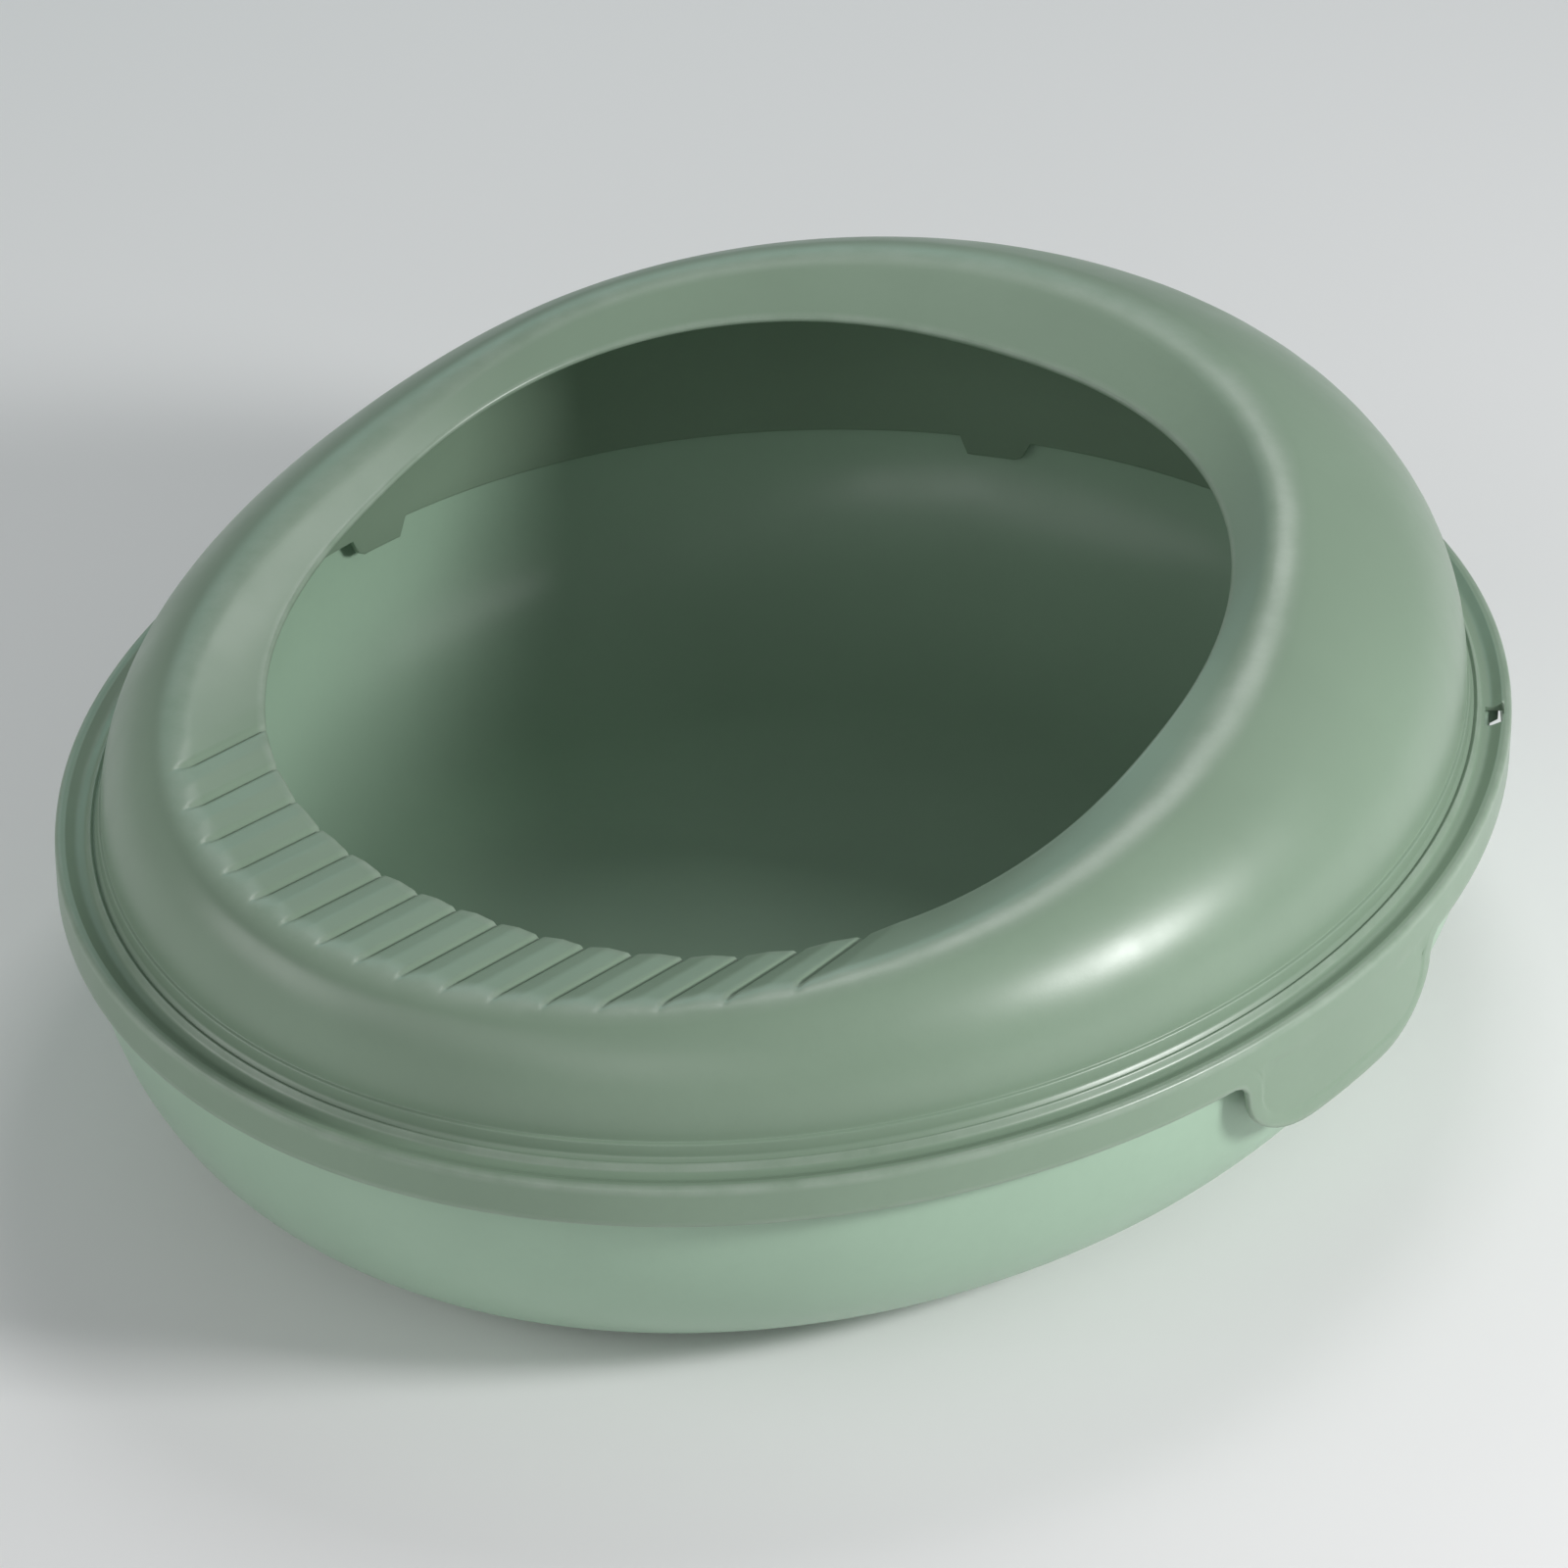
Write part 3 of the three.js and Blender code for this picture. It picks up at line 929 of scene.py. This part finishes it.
def lip_points(last, inner_last):
    """The rounded lip of the throat, from the face round to the wall's inner side."""
    middle = (last + inner_last) / 2
    half = (last - inner_last) / 2
    forward = half.cross(Vector((-last.y, last.x, 0)).normalized())
    if forward.dot(Vector((last.x, last.y, 0))) > 0:
        forward = -forward
    points = []
    for step in range(1, LIP_STEPS):
        turn = math.pi * step / LIP_STEPS
        points.append(middle + half * math.cos(turn) + forward * math.sin(turn))
    return points


def pull_outline(tabs, share):
    """The lower edge of the skirt beside and round a pull tab. A share of 0 is the middle
    of the tab and 1 is where the fillet leaves the plain skirt. Gives the place along the
    skirt, the height above the skirt's edge, and the direction into the material."""
    corner, fillet = tabs.pull_corner, tabs.pull_fillet
    rise = tabs.pull_drop - fillet
    flat = tabs.pull_half_width - corner
    bend = math.pi / 2 * math.hypot(corner, rise) * math.sqrt(0.5)
    way = share * (flat + bend + math.pi / 2 * fillet)
    if way <= flat:
        return way, -tabs.pull_drop, 0.0, 1.0
    way -= flat
    if way <= bend:
        turn = math.pi / 2 * way / bend
        x, z = math.sin(turn), math.cos(turn)
        steep = math.hypot(rise * x, corner * z)
        height = rise * (1 - z) - tabs.pull_drop
        return flat + corner * x, height, -rise * x / steep, corner * z / steep
    turn = min(math.pi / 2, (way - bend) / fillet)
    x, z = math.cos(turn), math.sin(turn)
    return tabs.pull_half_width + fillet * (1 - x), fillet * (z - 1), -x, z


def skirt_place(tabs, along, inset, rise, top):
    """A place on the skirt, as its distance along and its height above the skirt's edge.
    along is where its column meets the top of the skirt. The lower rows keep an inset
    from the edge, and rise takes the upper ones on to the top."""
    reach = tabs.pull_half_width + tabs.pull_fillet
    if abs(along) >= reach:
        place, height = abs(along), inset
    else:
        place, height, inwards, upwards = pull_outline(tabs, abs(along) / reach)
        place += inwards * inset
        height += upwards * inset
    place += (abs(along) - place) * rise
    height += (top - height) * rise
    return math.copysign(place, along), height


def panel_sink(tabs, along, height):
    """How deep the sunk panel of a pull tab is at a place on the skirt."""
    half_width = tabs.pull_half_width - tabs.panel_inset
    low, high = tabs.panel_inset - tabs.pull_drop, 3 * MM
    corner = tabs.pull_drop - tabs.pull_fillet - tabs.panel_inset
    x = abs(along) - (half_width - corner)
    z = low + corner - height
    inside = half_width - abs(along) if x < 0 or z < 0 else corner - math.hypot(x, z)
    inside = min(inside, height - low, high - height)
    return tabs.panel_depth * smooth_step(-0.3 * MM, 0.6 * MM, inside)


def skirt_point(box, angle, depth, inset, rise):
    """A point of the skirt: depth goes in from its outer face."""
    hood, tabs, outline = box.hood, box.tabs, box.outline
    half_length = outline.half_length + hood.skirt_offset
    top = hood.skirt_height - SKIRT_TOP
    start = half_length * math.sin(angle) - tabs.pull_middle
    along, height = skirt_place(tabs, start, inset, rise, top)
    turned = math.asin(max(-1.0, min(1.0, (along + tabs.pull_middle) / half_length)))
    if math.cos(angle) < 0:
        turned = math.pi - turned
    sunk = panel_sink(tabs, along, height) if depth < hood.wall / 2 else 0.0
    low = outline.crest - hood.skirt_height
    return oval_point(outline, turned, hood.skirt_offset - depth - sunk, low + height)


def skirt_rows(box):
    """Depth, inset and rise of the skirt's rows: down the inner face, round the lower edge
    and up the outer face."""
    wall, r = box.hood.wall, 0.8 * MM
    lower = [(wall, 6 * MM, 0), (wall, 2.5 * MM, 0), (wall, r, 0)]
    lower += [(wall - 0.3 * r, 0.3 * r, 0), (wall - r, 0, 0), (r, 0, 0), (0.3 * r, 0.3 * r, 0)]
    outer = [(0, inset * MM, 0) for inset in (0.8, 2.2, 4.2, 4.9, 5.4, 5.9, 6.6)]
    outer += [(0, 6.6 * MM, rise) for rise in (0.2, 0.42, 0.62, 0.68, 0.74, 0.88)]
    return lower + outer


def curtain_edge(box, angle):
    """The height of the curtain's lower edge, with the snap tabs that hang from it."""
    hood, tabs, outline = box.hood, box.tabs, box.outline
    height = outline.crest - hood.curtain_depth - hood.curtain_rear_drop * rearness(angle)
    point = oval_point(outline, angle, hood.foot_offset, 0)
    for degrees in SNAP_ANGLES:
        middle = math.radians(degrees)
        centre = oval_point(outline, middle, hood.foot_offset, 0)
        away = (point - centre).length
        half = tabs.snap_width / 2
        share = smooth_step(0, 1, (half - away) / tabs.snap_taper)
        height -= tabs.snap_drop * share
    return height


def curtain_path(box, angle):
    """Offsets and heights down the curtain's inner face, round its lower edge and up
    its outer face to the flange, along under the flange and down inside the skirt."""
    hood, tabs, outline = box.hood, box.tabs, box.outline
    outer, inner = hood.foot_offset, hood.foot_offset - hood.wall
    under = box.tray.height + SEAT_GAP
    low = curtain_edge(box, angle)
    skirt_inner = hood.skirt_offset - hood.wall
    turn_down = outline.crest - hood.skirt_height + 8 * MM
    return soft_path(
        [
            (inner, outline.crest, 0),
            (inner, outline.crest - hood.curtain_depth * 0.7, 0),
            (inner, low, 0.8 * MM),
            (outer, low, 0.8 * MM),
            (outer, under, 0.5 * MM),
            (tabs.slot_inner, under, 0),
            (tabs.slot_outer, under, 0),
            (skirt_inner, under, 0.6 * MM),
            (skirt_inner, turn_down, 0),
        ],
        steps=3,
    )


def hood_section(box, flange_rows, turn):
    """The hood's closed section at one turn: round the skirt's edge and up its face, over
    the flange, up the dome, down the band, back along the inside and down the curtain."""
    edge, dome, roll, band = face_points(box, turn)
    outline, angle = box.outline, foot_angle(box, edge)
    skirt = [skirt_point(box, angle, *row) for row in skirt_rows(box)]
    flange = [oval_point(outline, angle, *place) for place in flange_rows]
    inner = behind([flange[-1]] + dome + roll + band, box.hood.wall)
    rise = rib_rise(box, edge)
    ribbed = [p + Vector((0, 0, rise * s)) for p, s in zip(roll, ROLL_RIB_SHARES)]
    ribbed += [p + Vector((0, 0, rise)) for p in band]
    under_lip = inner[-1] + Vector((0, 0, rise * 0.8))
    lip = lip_points(ribbed[-1], under_lip)
    inside = [under_lip] + inner[-4:0:-3]  # every third row is enough here
    curtain = [oval_point(outline, angle, *place) for place in curtain_path(box, angle)]
    return skirt + flange + dome + ribbed + lip + inside + curtain


def hood_edge_highlight(box):
    """How much painted highlight each row of the hood's section gets, a paler colour along the
    edges that catch the light.
    """
    flange = flange_path(box)
    painted_highlight = [0.0] * len(hood_section(box, flange, 0))
    flange_start = len(skirt_rows(box))
    roll_start = flange_start + len(flange) + DOME_STEPS
    lip_start = roll_start + len(ROLL_RIB_SHARES) + len(BAND_SHARES)
    # Painted highlight along the edges that catch the light, row by row.
    runs = (
        (2, [0.8] * 6),  # the skirt's lower edge
        (flange_start + 1, [1.0] * 5),  # the skirt's roll into the flange
        (flange_start + 21, [0.9] * 6),  # the outer side and the top of the bead
        (roll_start + 1, [0.3, 0.6, 0.8, 0.8, 0.6, 0.3]),  # the roll round the opening
        (lip_start - 1, [1.0] * 7),  # the lip of the throat
    )
    for start, values in runs:
        painted_highlight[start : start + len(values)] = values
    return painted_highlight


def cut_slot(mesh, box):
    """Opens the slot: takes the faces out of the flange's top and underside and walls in
    the hole between them."""
    tabs, outline = box.tabs, box.outline
    start, end = slot_ends(box)
    low = box.tray.height - 1 * MM
    faces = []
    for face in mesh.faces:
        centre = face.calc_center_median()
        if not low < centre.z < outline.crest:
            continue
        angle = math.atan2(centre.y / outline.half_length, centre.x / outline.half_width)
        if not start < angle < end:
            continue
        offset = centre.x / math.cos(angle) - outline.half_width
        if tabs.slot_inner < offset < tabs.slot_outer:
            faces.append(face)
    bmesh.ops.delete(mesh, geom=faces, context="FACES")
    rims = [edge for edge in mesh.edges if edge.is_boundary]
    bmesh.ops.bridge_loops(mesh, edges=rims)


def make_hood(box):
    flange = flange_path(box)
    sections = [hood_section(box, flange, turn) for turn in hood_turns(box)]
    mesh = shell_of(sections, hood_edge_highlight(box), closed=True)
    cut_slot(mesh, box)
    material = satin_plastic("hood plastic", box.finish, box.finish.hood_colour)
    return finished_piece(mesh, "hood_shell", material, "hood", "hood")


# ---- Finish --------------------------------------------------------------------------


def satin_plastic(name, finish, colour):
    """Satin moulded plastic: a slow drift of the colour, a fine grain, an uneven sheen and a
    painted highlight that pales the colour along the edges that catch the light."""
    material = bpy.data.materials.new(name)
    material.use_nodes = True
    nodes, links = material.node_tree.nodes, material.node_tree.links
    shader = nodes["Principled BSDF"]
    place = nodes.new("ShaderNodeTexCoord").outputs["Object"]

    def noise(size, detail, roughness=0.5):
        node = nodes.new("ShaderNodeTexNoise")
        node.inputs["Scale"].default_value = 1 / size
        node.inputs["Detail"].default_value = detail
        node.inputs["Roughness"].default_value = roughness
        links.new(place, node.inputs["Vector"])
        return node.outputs["Fac"]

    def ranged(value, low, high, start=0.3, end=0.7):
        node = nodes.new("ShaderNodeMapRange")
        node.inputs["From Min"].default_value = start
        node.inputs["From Max"].default_value = end
        node.inputs["To Min"].default_value = low
        node.inputs["To Max"].default_value = high
        links.new(value, node.inputs["Value"])
        return node.outputs["Result"]

    def mixed(share, first, second):
        node = nodes.new("ShaderNodeMix")
        node.data_type = "RGBA"
        links.new(share, node.inputs["Factor"])
        for value, socket in ((first, node.inputs["A"]), (second, node.inputs["B"])):
            if isinstance(value, bpy.types.NodeSocket):
                links.new(value, socket)
            else:
                socket.default_value = (*value, 1)
        return node.outputs["Result"]

    shade = tuple(c * 0.93 for c in colour)
    tint = tuple(min(1.0, c * 1.05) for c in colour)
    highlight_tint = tuple(c + (1 - c) * 0.10 for c in colour)
    drift = mixed(ranged(noise(0.11, 3), 0, 1), shade, tint)
    speck = mixed(ranged(noise(0.004, 4, 0.7), 0, 0.25, 0.45, 0.75), drift, shade)
    # Painted highlight: the edges listed in the vertex layer get a paler colour, broken up by
    # noise.
    painted_highlight = nodes.new("ShaderNodeAttribute")
    painted_highlight.attribute_name = "painted_edge_highlight"
    highlight_amount = nodes.new("ShaderNodeMath")
    highlight_amount.operation = "MULTIPLY"
    links.new(painted_highlight.outputs["Fac"], highlight_amount.inputs[0])
    links.new(ranged(noise(0.012, 5, 0.6), 0.15, 0.9), highlight_amount.inputs[1])
    links.new(mixed(highlight_amount.outputs[0], speck, highlight_tint), shader.inputs["Base Color"])
    sheen = ranged(noise(0.03, 5, 0.6), finish.roughness - 0.04, finish.roughness + 0.05)
    links.new(sheen, shader.inputs["Roughness"])
    shader.inputs["IOR"].default_value = 1.49
    bump = nodes.new("ShaderNodeBump")
    bump.inputs["Distance"].default_value = finish.grain_depth
    bump.inputs["Strength"].default_value = 0.6
    links.new(noise(finish.grain, 3, 0.6), bump.inputs["Height"])
    links.new(bump.outputs["Normal"], shader.inputs["Normal"])
    return material


def floor_paint(colour):
    """Matt pale paint."""
    material = bpy.data.materials.new("floor paint")
    material.use_nodes = True
    shader = material.node_tree.nodes["Principled BSDF"]
    shader.inputs["Base Color"].default_value = (*colour, 1)
    shader.inputs["Roughness"].default_value = 0.9
    shader.inputs["Specular IOR Level"].default_value = 0.1
    return material


# ---- Stage ---------------------------------------------------------------------------


def aimed(thing, place, target):
    """Puts a camera or a light at a place, looking at a target."""
    thing.location = place
    thing.rotation_euler = (target - place).to_track_quat("-Z", "Y").to_euler()


def make_floor(box):
    mesh = bmesh.new()
    bmesh.ops.create_grid(mesh, x_segments=4, y_segments=4, size=6)
    data = bpy.data.meshes.new("floor")
    mesh.to_mesh(data)
    mesh.free()
    data.materials.append(floor_paint(box.stage.floor_colour))
    floor = bpy.data.objects.new("floor", data)
    floor.location.z = CAD_LOW.z - FLOOR_GAP
    bpy.context.scene.collection.objects.link(floor)


def make_light(name, direction, distance, size, power, colour, target):
    lamp = bpy.data.lights.new(name, "AREA")
    lamp.shape = "RECTANGLE"
    lamp.size, lamp.size_y = size
    lamp.energy = power
    lamp.color = colour
    light = bpy.data.objects.new(name, lamp)
    bpy.context.scene.collection.objects.link(light)
    aimed(light, target + Vector(direction).normalized() * distance, target)


def make_lights(target):
    for light in LIGHTS:
        make_light(*light, target)


def make_world():
    world = bpy.data.worlds.new("studio")
    world.use_nodes = True
    background = world.node_tree.nodes["Background"]
    background.inputs["Color"].default_value = (0.95, 0.97, 1, 1)
    background.inputs["Strength"].default_value = WORLD_STRENGTH
    bpy.context.scene.world = world


def make_camera(box):
    """The camera, aimed at the middle of the hood's foot. Gives that point."""
    stage = box.stage
    target = Vector((0, 0, box.outline.crest))
    level = math.cos(stage.elevation)
    back = Vector(
        (
            math.sin(stage.azimuth) * level,
            -math.cos(stage.azimuth) * level,
            math.sin(stage.elevation),
        )
    )
    camera = bpy.data.objects.new("camera", bpy.data.cameras.new("camera"))
    camera.data.lens = stage.lens
    camera.data.sensor_width = 36
    camera.data.shift_x, camera.data.shift_y = CAMERA_SHIFT
    camera.data.clip_end = 50
    bpy.context.scene.collection.objects.link(camera)
    aimed(camera, target + back * stage.distance, target)
    bpy.context.scene.camera = camera
    return target


# ---- Operators and panel -------------------------------------------------------------


class LITTERBOX_OT_tray(bpy.types.Operator):
    """Model the pan"""

    bl_idname = "litterbox.tray"
    bl_label = "Pan"

    def execute(self, context):
        make_tray(context.scene.litter_box)
        return {"FINISHED"}


class LITTERBOX_OT_hood(bpy.types.Operator):
    """Model the hood"""

    bl_idname = "litterbox.hood"
    bl_label = "Hood"

    def execute(self, context):
        make_hood(context.scene.litter_box)
        return {"FINISHED"}


class LITTERBOX_OT_stage(bpy.types.Operator):
    """Set up the floor, the camera and the lights"""

    bl_idname = "litterbox.stage"
    bl_label = "Stage"

    def execute(self, context):
        box = context.scene.litter_box
        make_floor(box)
        make_world()
        make_lights(make_camera(box))
        context.scene.view_settings.view_transform = "Standard"
        return {"FINISHED"}


class LITTERBOX_PT_sidebar(bpy.types.Panel):
    """Sizes, colours and the pieces of the litter box"""

    bl_label = "Litter Box"
    bl_idname = "LITTERBOX_PT_sidebar"
    bl_space_type = "VIEW_3D"
    bl_region_type = "UI"
    bl_category = "Litter Box"

    def draw(self, context):
        box = context.scene.litter_box
        for group in (box.outline, box.tray, box.hood, box.opening, box.ribs, box.tabs):
            column = self.layout.box().column()
            for name in group.bl_rna.properties.keys():
                if name not in ("rna_type", "name"):
                    column.prop(group, name)
        for name in ("hood_colour", "tray_colour", "roughness", "grain", "grain_depth"):
            self.layout.prop(box.finish, name)
        self.layout.operator("litterbox.tray")
        self.layout.operator("litterbox.hood")
        self.layout.operator("litterbox.stage")


CLASSES = (
    OutlineSizes,
    TraySizes,
    HoodSizes,
    OpeningSizes,
    RibSizes,
    TabSizes,
    FinishSettings,
    StageSettings,
    LitterBoxSettings,
    LITTERBOX_OT_tray,
    LITTERBOX_OT_hood,
    LITTERBOX_OT_stage,
    LITTERBOX_PT_sidebar,
)


def register():
    for each in CLASSES:
        bpy.utils.register_class(each)
    bpy.types.Scene.litter_box = PointerProperty(type=LitterBoxSettings)


def unregister():
    del bpy.types.Scene.litter_box
    for each in reversed(CLASSES):
        bpy.utils.unregister_class(each)


def main():
    register()
    bpy.ops.litterbox.stage()
    bpy.ops.litterbox.tray()
    bpy.ops.litterbox.hood()


if __name__ == "__main__":
    main()
